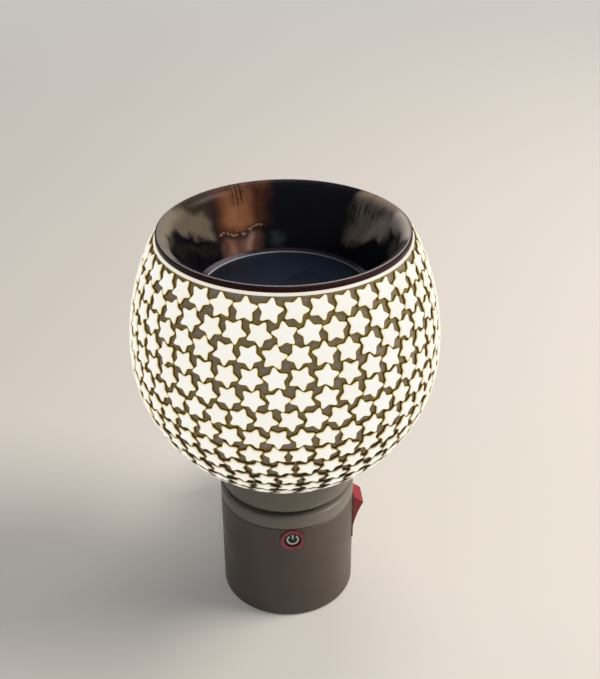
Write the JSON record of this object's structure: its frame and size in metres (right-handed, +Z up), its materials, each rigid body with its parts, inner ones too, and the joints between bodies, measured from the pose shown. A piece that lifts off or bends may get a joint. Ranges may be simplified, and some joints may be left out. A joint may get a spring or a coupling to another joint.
{
  "type": "plug-in wax melt warmer",
  "caption": "Plug-in wax melt warmer: a lit globe shade of hand-laid white star mosaic on a round base, with a lift-off dark dish, a rocker switch and a push button.",
  "frame": {"origin": "centre of the plug's face, in the plane of the wall plate", "axes": "+Y points into the wall along the plug, +Z up along the globe, +X to the right of someone facing the wall, on the rocker switch's side"},
  "size_m": [0.0992, 0.1201, 0.1381],
  "materials": {
    "base_plastic": "warm grey moulded plastic",
    "collar_plastic": "warm grey moulded plastic",
    "black_plastic": "black glossy plastic",
    "red_plastic": "red glossy plastic",
    "red_lens": "red translucent plastic",
    "dark_button": "dark green-black glossy plastic",
    "globe_glass": "clear glass under grey-brown grout",
    "star_glass": "opal white glass tile",
    "dish_glaze": "black-brown glaze",
    "steel": "zinc-plated steel",
    "brass": "brass",
    "nickel": "nickel-plated brass",
    "porcelain": "glazed white porcelain",
    "clear_glass": "clear bulb glass",
    "black_insulator": "black bulb insulator",
    "tungsten": "tungsten wire",
    "gasket_rubber": "pale silicone",
    "board_green": "green circuit board",
    "film_orange": "film capacitor case",
    "white_plastic": "white insulating plastic",
    "wire_black": "black wire sheath",
    "wire_white": "white wire sheath"
  },
  "bodies": {
    "lamp": {"base_body": "base_plastic", "bottom_cover": "base_plastic", "cover_screws": "steel", "collar_ring": "collar_plastic", "shade_seat": "collar_plastic", "seat_screws": "steel", "shade_gasket": "gasket_rubber", "shade_globe": "globe_glass", "star_tiles": "star_glass", "ring_nut": "white_plastic", "lamp_holder": "porcelain", "holder_shell": "brass", "holder_contact": "brass", "holder_terminals": "brass", "bulb_cap": "nickel", "bulb_insulator": "black_insulator", "bulb_tip": "nickel", "bulb_envelope": "clear_glass", "bulb_stem": "clear_glass", "filament": "tungsten", "switch_frame": "black_plastic", "switch_tabs": "brass", "button_ring": "red_lens", "tact_switch": "steel", "control_board": "board_green", "board_screws": "steel", "indicator_led": "red_lens", "film_capacitor": "film_orange", "plug_retainer": "white_plastic", "contact_block": "white_plastic", "brush_contacts": "brass", "live_wire": "wire_black", "switched_wire": "wire_black", "lamp_wire": "wire_black", "neutral_wire": "wire_white"},
    "dish": {"wax_dish": "dish_glaze"},
    "rocker": {"rocker": "red_plastic"},
    "button": {"power_button": "dark_button", "tact_plunger": "black_plastic"},
    "plug": {"plug_head": "base_plastic", "plug_blades": "nickel", "slip_rings": "brass"}
  },
  "joints": [
    {"name": "dish_lift", "type": "slide", "parent": "lamp", "child": "dish", "axis": [0, 0, 1], "range_m": [0, 0.045]},
    {"name": "rocker_tilt", "type": "hinge", "parent": "lamp", "child": "rocker", "pos_m": [0.02, -0.053, 0.00875], "axis": [0, -1, 0], "range_deg": [0, 32.6]},
    {"name": "button_press", "type": "slide", "parent": "lamp", "child": "button", "axis": [0, 1, 0], "range_m": [0, 0.0005], "stiffness_N_per_m": 300, "springref_m": -0.001},
    {"name": "plug_turn", "type": "hinge", "parent": "lamp", "child": "plug", "pos_m": [0, 0, 0], "axis": [0, 1, 0], "range_deg": [0, 90]}
  ]
}
